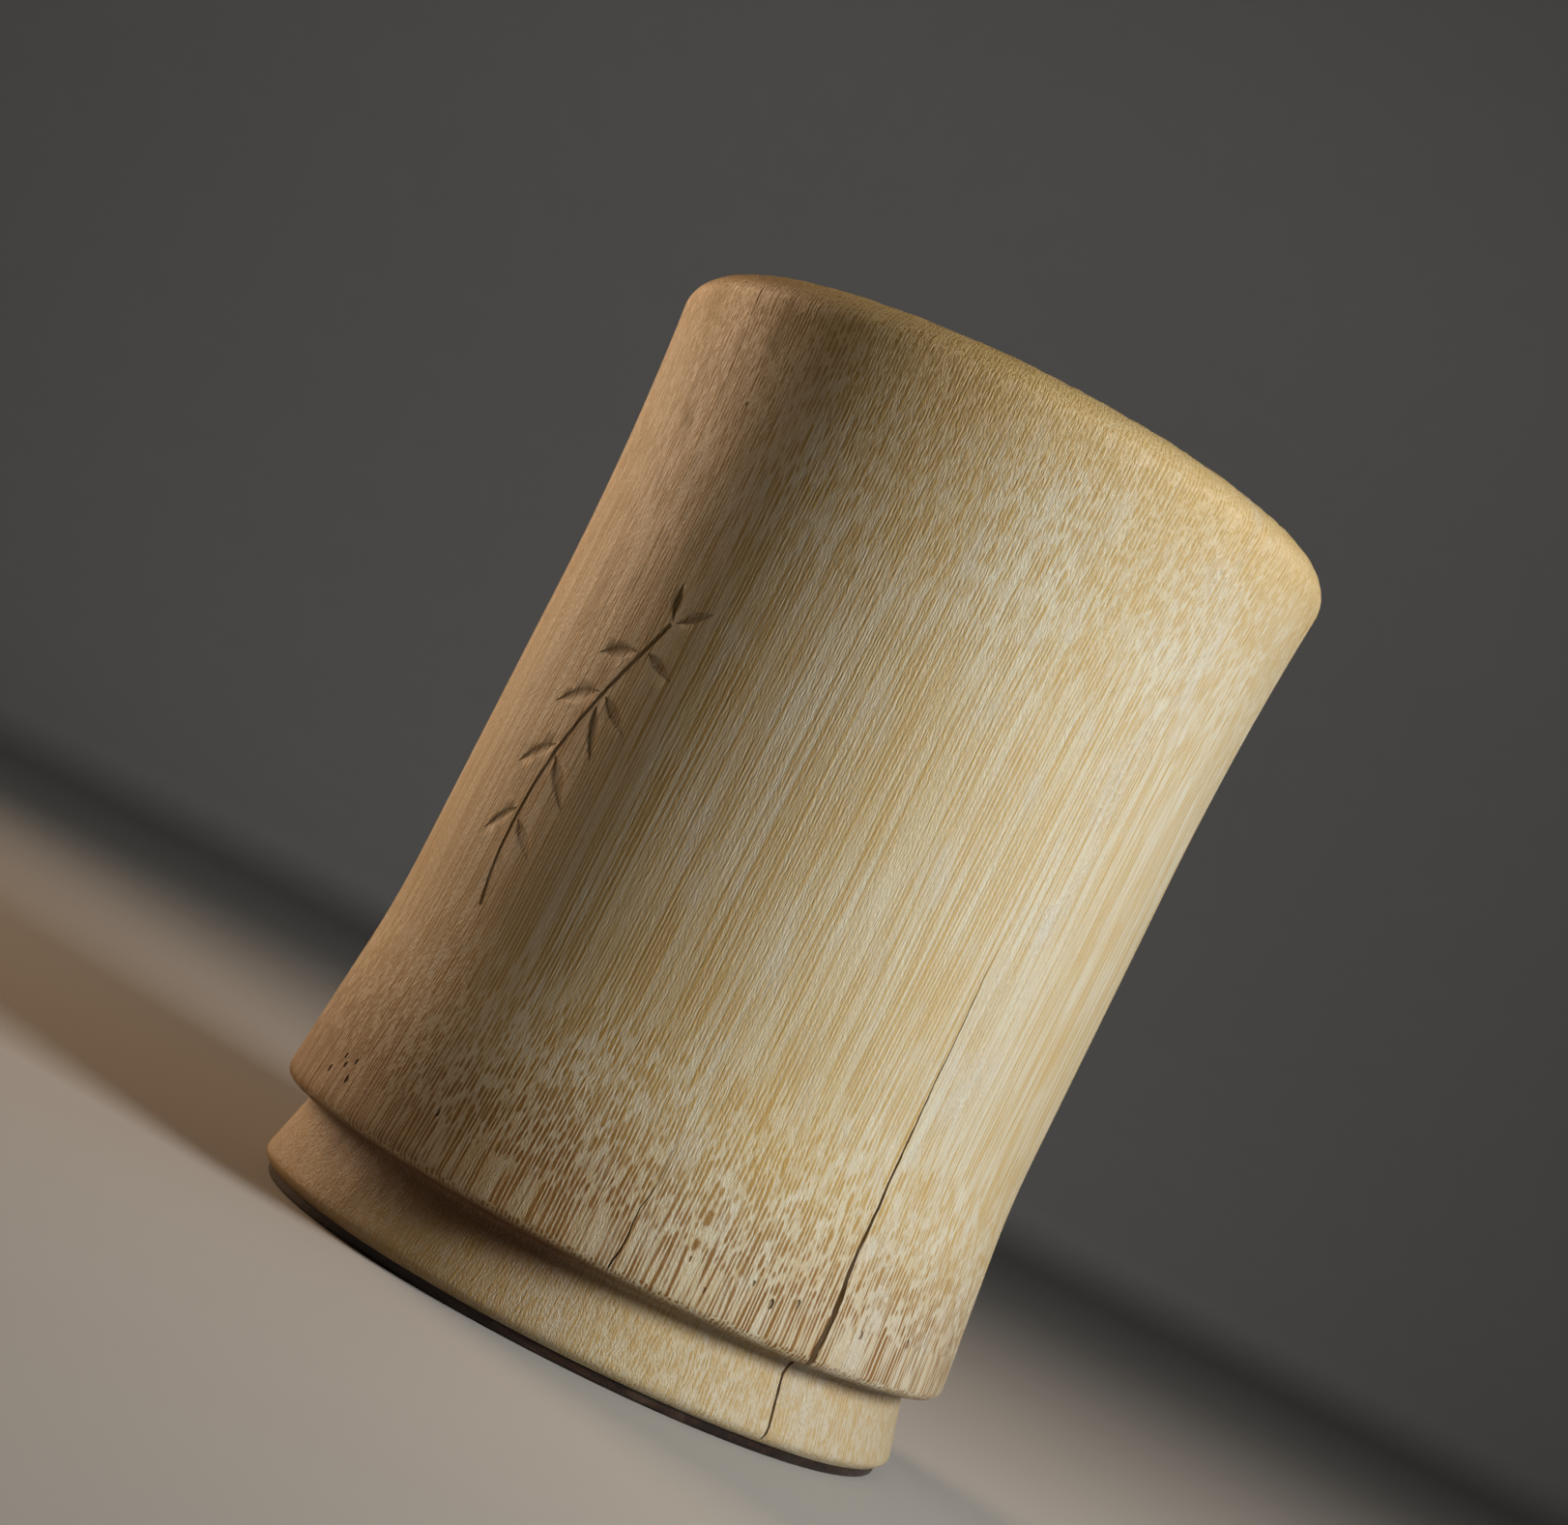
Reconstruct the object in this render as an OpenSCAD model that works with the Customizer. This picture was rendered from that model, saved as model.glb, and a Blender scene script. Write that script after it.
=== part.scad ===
// Bamboo brush pot: a turned culm wall with a stepped foot, closed from below
// by a hardwood base plate that is bedded in lacquer and pinned with bamboo.
// Millimetres, +Z up, origin at the middle of the face it stands on.
// The shorter of the two drying cracks points to -Y.

/* [Overall] */
// Height from the table to the rim
pot_h = 145; // [120:1:200]
// Diameter of the bore
bore_d = 83; // [66:0.5:110]
// Wall thickness at the waist
wall_t = 8.7; // [7:0.1:12]

/* [Rim] */
// Height of the outward sweep below the rim
upper_sweep_h = 50; // [30:1:60]
// Radius of that sweep, seen from the side
upper_sweep_r = 475; // [350:5:900]
// Rounding of the rim's outer edge
rim_round = 5; // [2:0.1:6]
// Rounding of the rim's inner edge
lip_round = 3; // [0.5:0.1:3]

/* [Shoulder] */
// Height of the taper between the ledge and the waist
lower_taper_h = 36.8; // [30:0.1:50]
// Angle of the taper from the upright
lower_taper_angle = 6; // [4:0.1:8]
// Radius of the bend from the taper into the waist
lower_bend_r = 137; // [80:1:160]
// Rounding of the shoulder's lower edge
ledge_round = 1.8; // [0.5:0.1:2.5]

/* [Foot] */
// Height of the ledge above the table
ledge_h = 13.2; // [11:0.1:20]
// How far the shoulder overhangs the neck
ledge_w = 5; // [4:0.1:6]
// Fillet where the neck meets the ledge
neck_fillet = 1.2; // [0.3:0.1:2]
// How far the foot spreads outwards below the neck
foot_spread = 2.4; // [1:0.1:3.5]
// Rounding of the foot's lower edge
foot_round = 1.6; // [0.5:0.1:2]

/* [Base plate] */
// Thickness of the plate's edge under the bamboo foot
base_edge_t = 1.4; // [1:0.1:2.5]
// How far the plate's edge is set in from the foot
base_inset = 1.5; // [0.5:0.1:1.6]
// Rounding of the plate's edge
base_round = 0.4; // [0.1:0.05:0.4]
// Height of the plug above the plate's edge
plug_h = 8; // [5:0.1:12]
// Depth of the hollow turned in the underside
hollow_depth = 0.8; // [0.3:0.1:0.9]
// Width of the ring that the pot stands on
stand_ring_w = 12; // [9:0.1:16]

/* [Lacquer bedding] */
// Gap between the plug and the bore, filled with lacquer
bedding_gap = 0.3; // [0.1:0.05:0.8]
// Radius of the lacquer cove where the floor meets the wall
cove_r = 2.5; // [1:0.1:4]

/* [Pins] */
// Number of bamboo pins
pin_count = 4; // [3:1:8]
// Diameter of a pin
pin_d = 2.4; // [1.6:0.1:3]
// Length of a pin
pin_l = 8.6; // [6:0.1:10]
// How far a pin's head sits above the table
pin_recess = 0.2; // [0.1:0.05:0.5]
// Clearance round a pin
pin_fit = 0.02; // [0.01:0.01:0.1]
// Clearance beyond a pin's tip
pin_tip_gap = 0.5; // [0.2:0.1:1]
// Length of a pin's pointed tip
pin_tip_l = 1; // [0.5:0.1:2]

/* [Drying cracks] */
// Turn of the long crack from the front
long_crack_turn = 35.8; // [20:0.1:60]
// Height at which the long crack runs out
long_crack_top = 74; // [40:1:90]
// Width of the long crack at the ledge
long_crack_w = 1.1; // [0.3:0.1:1.6]
// Width of the long crack on the foot
foot_crack_w = 0.5; // [0.2:0.1:1]
// Turn of the short crack from the front
short_crack_turn = 2; // [-10:0.1:15]
// Height at which the short crack runs out
short_crack_top = 35; // [25:1:50]
// Width of the short crack at the ledge
short_crack_w = 0.5; // [0.2:0.1:1]
// Depth of the cracks below the neck's surface
crack_depth = 3; // [1:0.1:4]

/* [Hidden] */
$fn = 180;
cut = 1;                // how far a cutter runs past what it cuts
corner_steps = 6;       // facets of a small rounding
sweep_steps = 10;       // facets of a long, shallow sweep

bore_r = bore_d / 2;
waist_r = bore_r + wall_t;
waist_low = ledge_h + lower_taper_h;
waist_high = pot_h - upper_sweep_h;

// The taper meets the bend at bend_low, where both slope the same way.
bend_low = waist_low - lower_bend_r * sin(lower_taper_angle);
shoulder_low = ledge_h + ledge_round;
shoulder_r = waist_r + lower_bend_r * (1 - cos(lower_taper_angle))
    + tan(lower_taper_angle) * (bend_low - shoulder_low);

sweep_angle = asin((upper_sweep_h - rim_round) / upper_sweep_r);
rim_r = waist_r + upper_sweep_r * (1 - cos(sweep_angle));

neck_r = shoulder_r - ledge_w;
foot_r = neck_r + foot_spread;
base_r = foot_r - base_inset;
plug_r = bore_r - bedding_gap;
floor_h = base_edge_t + plug_h;
hollow_r = base_r - stand_ring_w;
pin_ring_r = (bore_r + foot_r - foot_round) / 2;

// Points of an arc about (x, z), from one angle to another.
function arc(x, z, r, from, to, steps) = [
    for (i = [0 : steps])
        let (a = from + (to - from) * i / steps)
            [x + r * cos(a), z + r * sin(a)]
];

// Foot, neck and ledge, from the bottom up.
function foot_outline() = concat(
    [[bore_r, base_edge_t]],
    arc(foot_r - foot_round, base_edge_t + foot_round, foot_round, -90, 0, corner_steps),
    arc(neck_r + neck_fillet, ledge_h - neck_fillet, neck_fillet, 180, 90, corner_steps),
    arc(shoulder_r - ledge_round, ledge_h + ledge_round, ledge_round, -90, 0, corner_steps)
);

// Tapered shoulder, straight waist and the sweep out to the rim.
function body_outline() = concat(
    arc(waist_r + lower_bend_r, waist_low, lower_bend_r,
        180 + lower_taper_angle, 180, sweep_steps),
    arc(waist_r + upper_sweep_r, waist_high, upper_sweep_r,
        180, 180 - sweep_angle, sweep_steps)
);

// Rounded rim and lip, over to the bore.
function rim_outline() = concat(
    arc(rim_r - rim_round, pot_h - rim_round, rim_round, 0, 90, corner_steps),
    arc(bore_r + lip_round, pot_h - lip_round, lip_round, 90, 180, corner_steps)
);

// An upright crack that narrows to nothing at its top, cut in from outside.
module crack(turn, low, top, low_w, inner_r) {
    rotate([0, 0, turn])
        translate([0, -inner_r, 0])
            rotate([90, 0, 0])
                linear_extrude(shoulder_r - inner_r + cut)
                    polygon([[-low_w / 2, low], [low_w / 2, low], [0, top]]);
}

// The long crack's parallel stretch through the neck and the foot.
module foot_crack() {
    rotate([0, 0, long_crack_turn])
        translate([-foot_crack_w / 2, -foot_r - cut, base_edge_t - cut])
            cube([foot_crack_w, foot_r - neck_r + crack_depth + cut, ledge_h - base_edge_t + 2 * cut]);
}

// Puts a copy of its child at each pin's place.
module at_pins() {
    for (i = [0 : pin_count - 1])
        rotate([0, 0, i * 360 / pin_count])
            translate([pin_ring_r, 0, 0])
                children();
}

// A pin's hole, from below the table to past the pin's tip.
module pin_hole() {
    translate([0, 0, -cut])
        cylinder(h = cut + pin_recess + pin_l + pin_tip_gap, r = pin_d / 2 + pin_fit);
}

module bamboo_wall() {
    color("burlywood")
        difference() {
            rotate_extrude()
                polygon(concat(foot_outline(), body_outline(), rim_outline()));
            crack(long_crack_turn, ledge_h - cut, long_crack_top, long_crack_w,
                neck_r - crack_depth);
            foot_crack();
            crack(short_crack_turn, ledge_h - cut, short_crack_top, short_crack_w,
                shoulder_r - crack_depth);
            at_pins() pin_hole();
        }
}

module base_plate() {
    color("#2b1a14")
        difference() {
            rotate_extrude()
                polygon(concat(
                    [[0, hollow_depth], [hollow_r - hollow_depth, hollow_depth], [hollow_r, 0]],
                    arc(base_r - base_round, base_round, base_round, -90, 0, corner_steps),
                    [[base_r, base_edge_t], [plug_r, base_edge_t], [plug_r, floor_h], [0, floor_h]]
                ));
            at_pins() pin_hole();
        }
}

module lacquer_bedding() {
    color("#3a2015")
        rotate_extrude()
            polygon(concat(
                [[plug_r, base_edge_t], [bore_r, base_edge_t]],
                arc(bore_r - cove_r, floor_h + cove_r, cove_r, 0, -90, corner_steps),
                [[plug_r, floor_h]]
            ));
}

module bamboo_pins() {
    color("wheat")
        at_pins()
            translate([0, 0, pin_recess]) {
                cylinder(h = pin_l - pin_tip_l, r = pin_d / 2);
                translate([0, 0, pin_l - pin_tip_l])
                    cylinder(h = pin_tip_l, r1 = pin_d / 2, r2 = pin_d / 4);
            }
}

bamboo_wall();
base_plate();
lacquer_bedding();
bamboo_pins();
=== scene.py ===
import math
import random

import bpy
from mathutils import Matrix, Vector


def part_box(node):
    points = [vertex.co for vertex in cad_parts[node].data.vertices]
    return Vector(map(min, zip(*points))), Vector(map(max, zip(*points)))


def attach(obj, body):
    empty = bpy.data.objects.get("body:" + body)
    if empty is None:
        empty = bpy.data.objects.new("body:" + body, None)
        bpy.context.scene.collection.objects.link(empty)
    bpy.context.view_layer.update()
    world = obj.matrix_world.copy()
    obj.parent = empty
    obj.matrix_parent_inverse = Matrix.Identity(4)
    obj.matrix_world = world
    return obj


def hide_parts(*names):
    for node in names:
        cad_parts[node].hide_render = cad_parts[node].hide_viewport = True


# A bamboo brush pot. The wall is turned from one length of culm, with a stepped foot; a dark
# hardwood plate closes it from below, bedded in lacquer and pinned with bamboo.
# Metres, +Z up, the pot standing on z = 0 with its front towards -Y. A turn is an angle in
# degrees from the front, positive towards +X.

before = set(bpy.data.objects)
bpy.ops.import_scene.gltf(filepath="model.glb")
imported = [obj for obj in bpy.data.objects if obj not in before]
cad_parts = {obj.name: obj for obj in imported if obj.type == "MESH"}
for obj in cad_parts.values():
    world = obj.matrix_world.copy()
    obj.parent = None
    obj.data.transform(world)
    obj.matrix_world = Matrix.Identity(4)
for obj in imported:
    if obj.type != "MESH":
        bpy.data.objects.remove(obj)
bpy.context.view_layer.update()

MM = 0.001

# ---------------------------------------------------------------- sizes

wall_low, wall_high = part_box("bamboo_wall")
_, plate_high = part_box("base_plate")
_, bedding_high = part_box("lacquer_bedding")
_, pins_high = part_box("bamboo_pins")

RIM_Z = wall_high.z
FOOT_Z = wall_low.z
SHOULDER_R = wall_high.x
BORE_R = bedding_high.x
PLATE_R = plate_high.x
FLOOR_Z = plate_high.z
COVE_R = bedding_high.z - FLOOR_Z

WALL_T = 8.7 * MM
WAIST_R = BORE_R + WALL_T
UPPER_SWEEP_H = 50 * MM
UPPER_SWEEP_R = 475 * MM
RIM_ROUND = 5 * MM
LIP_ROUND = 3 * MM

LEDGE_Z = 13.2 * MM
LEDGE_ROUND = 1.8 * MM
LOWER_TAPER_H = 36.8 * MM
LOWER_TAPER_ANGLE = 6
LOWER_BEND_R = 137 * MM

LEDGE_W = 5 * MM
NECK_R = SHOULDER_R - LEDGE_W
NECK_FILLET = 1.2 * MM
FOOT_FLARE = 2.4 * MM
FOOT_R = NECK_R + FOOT_FLARE
FOOT_ROUND = 1.6 * MM

BEDDING_GAP = 0.3 * MM
PLUG_R = BORE_R - BEDDING_GAP
PLATE_EDGE_ROUND = 0.4 * MM
HOLLOW_DEPTH = 0.8 * MM
STAND_RING_W = 12 * MM
HOLLOW_R = PLATE_R - STAND_RING_W

PIN_COUNT = 4
PIN_R = 1.2 * MM
PIN_RING_R = pins_high.x - PIN_R
PIN_FIT = 0.02 * MM
PIN_RECESS = 0.2 * MM
PIN_TIP_GAP = 0.5 * MM

WALL_FACETS = 420
PLATE_FACETS = 192
BEAD_FACETS = 240
MERGE_GAP = 0.001 * MM

# How far apart the points lie along the turned outlines.
EDGE_STEP = 0.9 * MM
TAPER_STEP = 1.2 * MM
SWEEP_STEP = 2.2 * MM
BORE_STEP = 7 * MM
PLATE_STEP = 3 * MM
BEAD_STEP = 1.2 * MM

# Where the drying cracks run, as turns.
LONG_CRACK_TURN = 35.8
SHORT_CRACK_TURN = 2.0
RIM_CRACK_TURN = -49.6

# The carved sprig, a rough stripe of torn fibres on the other side, and two nicks.
SPRIG_TURN = -46
SPRIG_MIDDLE_Z = 76 * MM
STRIPE_TURN = 43
NICK_TURN = -18


# ---------------------------------------------------------------- bench work

def only(piece):
    """Leaves this piece alone selected, and active."""
    bpy.ops.object.select_all(action="DESELECT")
    piece.select_set(True)
    bpy.context.view_layer.objects.active = piece


def edit(piece):
    """Opens a piece in edit mode with nothing else selected."""
    only(piece)
    bpy.ops.object.mode_set(mode="EDIT")


def leave():
    """Closes edit mode."""
    bpy.ops.object.mode_set(mode="OBJECT")


def arc(x, z, radius, start, end, steps):
    """Points of an arc about (x, z), its ends in degrees."""
    angles = [math.radians(start + (end - start) * i / steps) for i in range(steps + 1)]
    return [(x + radius * math.cos(a), z + radius * math.sin(a)) for a in angles]


def divided(outline, step):
    """The outline with its long edges divided, so that no edge is longer than step."""
    points = [outline[0]]
    for (x0, z0), (x1, z1) in zip(outline, outline[1:]):
        count = max(1, math.ceil(math.hypot(x1 - x0, z1 - z0) / step - 0.01))
        for i in range(1, count + 1):
            points.append((x0 + (x1 - x0) * i / count, z0 + (z1 - z0) * i / count))
    return points


def turned(name, outline, facets):
    """A piece turned about the pot's axis. The outline is a list of (radius, height)."""
    bpy.ops.object.select_all(action="DESELECT")
    bpy.ops.mesh.primitive_plane_add(size=MM)
    piece = bpy.context.object
    piece.name = name
    bpy.ops.object.mode_set(mode="EDIT")
    bpy.ops.mesh.select_all(action="SELECT")
    bpy.ops.mesh.merge(type="CENTER")
    bpy.ops.transform.translate(value=(outline[0][0], 0, outline[0][1]))
    for (x0, z0), (x1, z1) in zip(outline, outline[1:]):
        bpy.ops.mesh.extrude_region_move(
            TRANSFORM_OT_translate={"value": (x1 - x0, 0, z1 - z0)})
    bpy.ops.mesh.select_all(action="SELECT")
    bpy.ops.mesh.spin(steps=facets, angle=math.tau, center=(0, 0, 0), axis=(0, 0, 1))
    bpy.ops.mesh.select_all(action="SELECT")
    bpy.ops.mesh.remove_doubles(threshold=MERGE_GAP)
    bpy.ops.mesh.normals_make_consistent(inside=False)
    leave()
    return piece


def gouge(name, stations, sides=8):
    """A bar laid along a line, to cut with. A station is (x, z, width, depth) in millimetres:
    the bar is width across and reaches depth to both sides in y."""
    stations = [[value * MM for value in station] for station in stations]
    x, z, width, depth = stations[0]
    bpy.ops.object.select_all(action="DESELECT")
    bpy.ops.mesh.primitive_circle_add(vertices=sides, radius=0.5, fill_type="NGON")
    cutter = bpy.context.object
    cutter.name = name
    bpy.ops.object.mode_set(mode="EDIT")
    bpy.ops.mesh.select_all(action="SELECT")
    heading = direction(stations, 0)
    bpy.ops.transform.resize(value=(width, 2 * depth, 1))
    bpy.ops.transform.rotate(value=-heading, orient_axis="Y", center_override=(0, 0, 0))
    bpy.ops.transform.translate(value=(x, 0, z))
    for i in range(1, len(stations)):
        step_along(stations[i - 1], stations[i], direction(stations, i) - heading)
        heading = direction(stations, i)
    bpy.ops.mesh.select_all(action="SELECT")
    bpy.ops.mesh.normals_make_consistent(inside=False)
    leave()
    return cutter


def direction(stations, i):
    """Heading of the line at a station, in radians from straight up towards +X."""
    x0, z0 = stations[max(i - 1, 0)][:2]
    x1, z1 = stations[min(i + 1, len(stations) - 1)][:2]
    return math.atan2(x1 - x0, z1 - z0)


def step_along(here, there, swing):
    """Extrudes the selected end to the next station, then swings and sizes it."""
    x0, z0, width0, depth0 = here
    x1, z1, width1, depth1 = there
    place = (x1, 0, z1)
    bpy.ops.mesh.extrude_region_move(
        TRANSFORM_OT_translate={"value": (x1 - x0, 0, z1 - z0)})
    bpy.ops.transform.rotate(value=-swing, orient_axis="Y", center_override=place)
    ratio = width1 / width0
    bpy.ops.transform.resize(value=(ratio, depth1 / depth0, ratio), center_override=place)


def joined(name, parts):
    """Several meshes as one."""
    bpy.ops.object.select_all(action="DESELECT")
    for part in parts:
        part.select_set(True)
    bpy.context.view_layer.objects.active = parts[0]
    bpy.ops.object.join()
    parts[0].name = name
    return parts[0]


def copied(piece, transforms):
    """The piece set out once for each transform, as one mesh. The first one is the piece."""
    pieces = [piece] + [piece.copy() for _ in transforms[1:]]
    for one in pieces[1:]:
        one.data = piece.data.copy()
        bpy.context.scene.collection.objects.link(one)
    for one, transform in zip(pieces, transforms):
        one.data.transform(transform)
    return joined(piece.name, pieces)


def radius_at(outline, z):
    """The outline's radius at a height, or at its nearer end."""
    if z <= outline[0][1]:
        return outline[0][0]
    for (r0, z0), (r1, z1) in zip(outline, outline[1:]):
        if z <= z1 and z1 > z0:
            return r0 + (r1 - r0) * (z - z0) / (z1 - z0)
    return outline[-1][0]


def wrapped(piece, turn, outline):
    """Bends a flat piece round the culm: x becomes the way round, y the way out."""
    for vertex in piece.data.vertices:
        out = radius_at(outline, vertex.co.z) + vertex.co.y
        angle = math.radians(turn) + vertex.co.x / WAIST_R
        vertex.co.x = out * math.sin(angle)
        vertex.co.y = -out * math.cos(angle)
    edit(piece)
    bpy.ops.mesh.select_all(action="SELECT")
    bpy.ops.mesh.normals_make_consistent(inside=False)
    leave()
    return piece


def cut_away(piece, cutter, material):
    """Cuts the cutter's shape out of a piece and gives the new faces this material."""
    cutter.data.materials.clear()
    cutter.data.materials.append(material)
    cut = piece.modifiers.new("cut", "BOOLEAN")
    cut.operation = "DIFFERENCE"
    cut.solver = "MANIFOLD"
    cut.material_mode = "TRANSFER"
    cut.object = cutter
    only(piece)
    bpy.ops.object.modifier_apply(modifier=cut.name)
    bpy.data.objects.remove(cutter)


def weather(piece, name, grain, stretch, depth, share):
    """Wears a surface away by cloudy noise. share gives each point's part of it by place."""
    clouds = bpy.data.textures.new(name, "CLOUDS")
    clouds.noise_scale = grain
    clouds.noise_depth = 2
    ruler = bpy.data.objects.new(name, None)
    bpy.context.scene.collection.objects.link(ruler)
    ruler.scale = (1, 1, stretch)
    bpy.context.view_layer.update()
    group = piece.vertex_groups.new(name=name)
    for vertex in piece.data.vertices:
        if share(vertex.co) > 0:
            group.add([vertex.index], share(vertex.co), "REPLACE")
    wear = piece.modifiers.new(name, "DISPLACE")
    wear.texture = clouds
    wear.texture_coords = "OBJECT"
    wear.texture_coords_object = ruler
    wear.strength = depth
    wear.mid_level = 1
    wear.vertex_group = name
    only(piece)
    bpy.ops.object.modifier_apply(modifier=wear.name)
    piece.vertex_groups.clear()
    bpy.data.objects.remove(ruler)


def smoothed(piece, angle=35):
    """Smooth shading, with edges sharper than the angle left crisp."""
    only(piece)
    bpy.ops.object.shade_smooth_by_angle(angle=math.radians(angle))


def near(value, centre, reach):
    """1 at the centre, falling smoothly to 0 at reach away from it."""
    share = max(0.0, 1 - abs(value - centre) / reach)
    return share * share * (3 - 2 * share)


# ---------------------------------------------------------------- material recipes

class Wire:
    """An output in a material's nodes. Sums and products of wires add the nodes for them."""

    def __init__(self, recipe, socket):
        self.recipe = recipe
        self.socket = socket

    def __add__(self, other):
        return self.recipe.math("ADD", self, other)

    def __radd__(self, other):
        return self.recipe.math("ADD", other, self)

    def __sub__(self, other):
        return self.recipe.math("SUBTRACT", self, other)

    def __rsub__(self, other):
        return self.recipe.math("SUBTRACT", other, self)

    def __mul__(self, other):
        return self.recipe.math("MULTIPLY", self, other)

    def __rmul__(self, other):
        return self.recipe.math("MULTIPLY", other, self)

    def __truediv__(self, other):
        return self.recipe.math("DIVIDE", self, other)

    def __pow__(self, other):
        return self.recipe.math("POWER", self, other)


class Recipe:
    """A material being put together, with a short call for each kind of node."""

    def __init__(self, name):
        self.material = bpy.data.materials.new(name)
        self.material.use_nodes = True
        self.tree = self.material.node_tree
        self.tree.nodes.clear()

    def node(self, kind, settings=None, values=None, out=0):
        """Adds a node, sets it up, fills or links its inputs and gives one of its outputs."""
        node = self.tree.nodes.new(kind)
        for name, value in (settings or {}).items():
            setattr(node, name, value)
        for key, value in (values or {}).items():
            if isinstance(value, Wire):
                self.tree.links.new(value.socket, node.inputs[key])
            else:
                node.inputs[key].default_value = value
        return Wire(self, node.outputs[out])

    def math(self, operation, first, second=0.0):
        return self.node("ShaderNodeMath", {"operation": operation}, {0: first, 1: second})

    def place(self):
        """x, y and z on the piece, in millimetres."""
        point = self.node("ShaderNodeTexCoord", out="Object")
        return [self.node("ShaderNodeSeparateXYZ", values={0: point}, out=axis) / MM
                for axis in range(3)]

    def vector(self, x, y, z):
        return self.node("ShaderNodeCombineXYZ", values={0: x, 1: y, 2: z})

    def noise(self, x, y, z, detail=2.0, roughness=0.5):
        """Cloudy noise, mostly between 0.3 and 0.7, one cloud about two units long."""
        return self.node("ShaderNodeTexNoise", values={
            "Vector": self.vector(x, y, z), "Scale": 1.0, "Detail": detail,
            "Roughness": roughness})

    def rise(self, value, low, high, to_low=0.0, to_high=1.0):
        """Goes smoothly from to_low to to_high as value goes from low to high."""
        return self.node("ShaderNodeMapRange", {"interpolation_type": "SMOOTHSTEP"},
                         {0: value, 1: low, 2: high, 3: to_low, 4: to_high})

    def mix(self, share, first, second):
        """Mixes two colours. share is the second one's part."""
        return self.node("ShaderNodeMix", {"data_type": "RGBA"},
                         {0: share, 6: first, 7: second}, out=2)

    def bump(self, height, depth, strength=1.0):
        return self.node("ShaderNodeBump",
                         values={"Strength": strength, "Distance": depth, "Height": height})

    def finish(self, color, roughness, normal, **fixed):
        """Closes the recipe with its shader."""
        values = {"Base Color": color, "Roughness": roughness, "Normal": normal}
        values.update({name.replace("_", " "): value for name, value in fixed.items()})
        surface = self.node("ShaderNodeBsdfPrincipled", values=values)
        output = self.tree.nodes.new("ShaderNodeOutputMaterial")
        self.tree.links.new(surface.socket, output.inputs["Surface"])
        return self.material


# Colours of the bamboo, the hardwood, the lacquer, the pins and the floor.
STRAW_PALE = (0.63, 0.585, 0.44, 1)
STRAW_WARM = (0.60, 0.515, 0.33, 1)
FIBRE_AMBER = (0.47, 0.305, 0.08, 1)
FIBRE_BROWN = (0.24, 0.115, 0.018, 1)
SILVER = (0.58, 0.56, 0.485, 1)
# Tan of painted warm shade on the shaded left side.
SHADE_TAN = (0.46, 0.27, 0.10, 1)
RIM_GOLD = (0.66, 0.46, 0.18, 1)
# Pale of painted sheen and sparkle in the torn stripe.
TORN_SHEEN_PALE = (0.74, 0.69, 0.57, 1)
# Brown of a real stain in the cracks, also painted as shade under the ledge and in the carved
# cuts.
SPLIT_STAIN_AND_SHADE_BROWN = (0.16, 0.075, 0.024, 1)
BORE_TAN = (0.36, 0.235, 0.105, 1)
HARDWOOD_DARK = (0.016, 0.009, 0.007, 1)
HARDWOOD_BROWN = (0.052, 0.025, 0.015, 1)
PORE_BLACK = (0.008, 0.004, 0.003, 1)
DUST = (0.32, 0.27, 0.2, 1)
LACQUER_DARK = (0.022, 0.007, 0.004, 1)
LACQUER_RED = (0.06, 0.017, 0.008, 1)
PIN_PALE = (0.40, 0.27, 0.12, 1)
PIN_TAN = (0.28, 0.17, 0.065, 1)
PIN_DOT = (0.085, 0.04, 0.014, 1)
FLOOR_LIGHT = (0.46, 0.45, 0.435, 1)
FLOOR_LIGHTER = (0.48, 0.47, 0.455, 1)

# The fibres, in millimetres: a layer's thickness outside the waist's radius and inside it,
# the distance between strands and about how far one runs.
FLECK_LAYER = 0.34
INNER_LAYER = 0.45
STRAND_PITCH = 0.62
STRAND_RUN = 34
# Below this height the fibres bend outwards, this much for each millimetre down.
NODE_BEND_Z = 20
NODE_BEND = 0.085

# Where each change of tone starts and ends, in millimetres: heights for the shoulder, foot, lip
# and rim, radii for the skin and bore, and ways round from the front for left and right, where
# the painted shade on the left and the painted sheen on the right fade in.
SHOULDER_FADE = (60, 22)
FOOT_FADE = (14.4, 13.4)
LIP_FADE = (143, 138)
RIM_FADE = (118, 146)
SKIN_FADE = (50.3, 52.6)
BORE_FADE = (43.5, 41.8)
SHADED_LEFT_FADE = (12, -20)
LIT_RIGHT_FADE = (12, 42)


def culm_place(recipe):
    """Where a point lies in the culm: radius, millimetres round it, height, and fibre layer.

    The fibre pattern fills the solid. Layers are counted from the waist, so the straight waist
    cuts along one layer and shows long streaks. Where the wall flares it cuts across them and
    shows short flecks, and end grain shows dots."""
    x, y, z = recipe.place()
    radius = (x * x + y * y) ** 0.5
    around = recipe.math("ARCTAN2", x, 0 - y) * (WAIST_R / MM)
    wander = recipe.noise(x / 14, y / 14, z / 150, detail=1)
    waver = recipe.noise(x / 1.4, y / 1.4, z / 150, detail=0)
    around = around + 2.4 * (wander - 0.5) + 0.9 * (waver - 0.5)
    # Near the node at the foot the fibres bend outwards with the surface.
    straight = radius - NODE_BEND * recipe.math("MAXIMUM", NODE_BEND_Z - z, 0.0)
    beyond = straight - WAIST_R / MM
    finer = recipe.rise(z, 85, 115, 1.0, 1.5)
    layer = recipe.math("MAXIMUM", beyond, 0.0) / FLECK_LAYER * finer
    layer = layer + recipe.math("MINIMUM", beyond, 0.0) / INNER_LAYER
    return x, y, z, radius, around, layer


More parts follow.
